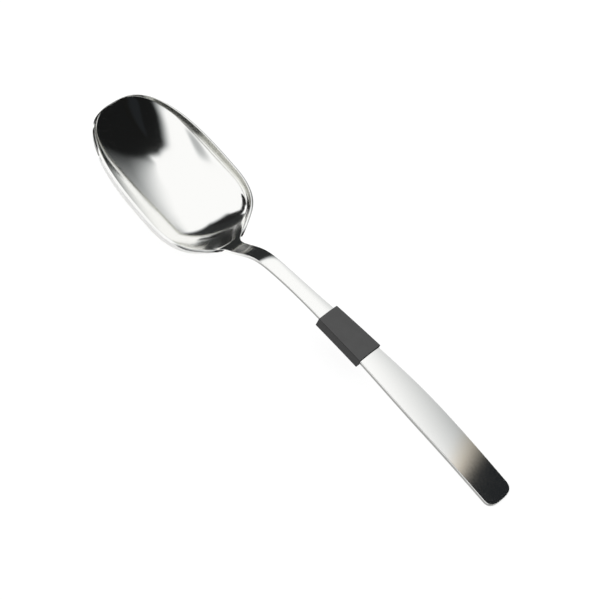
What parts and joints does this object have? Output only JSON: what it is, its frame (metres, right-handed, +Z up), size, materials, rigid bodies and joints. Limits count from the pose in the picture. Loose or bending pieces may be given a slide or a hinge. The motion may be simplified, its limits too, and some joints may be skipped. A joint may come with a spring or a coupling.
{
  "type": "serving spoon",
  "caption": "Long-handled serving spoon with a deep round-tipped bowl, a cranked neck, an arched flat handle and a soft grip band",
  "frame": {"origin": "middle of the bounding box, on the table plane that the bowl's floor and the handle's end rest on", "axes": "+X from the bowl's tip to the handle's end, +Z up from the table, +Y across the spoon"},
  "size_m": [0.2992, 0.07, 0.0348],
  "materials": {
    "polished_steel": "mirror polished stainless steel with a faint satin on the handle",
    "soft_grip": "matte dark grey"
  },
  "bodies": {
    "root": {"steel_spoon": "polished_steel", "grip_sleeve": "soft_grip"}
  },
  "joints": []
}
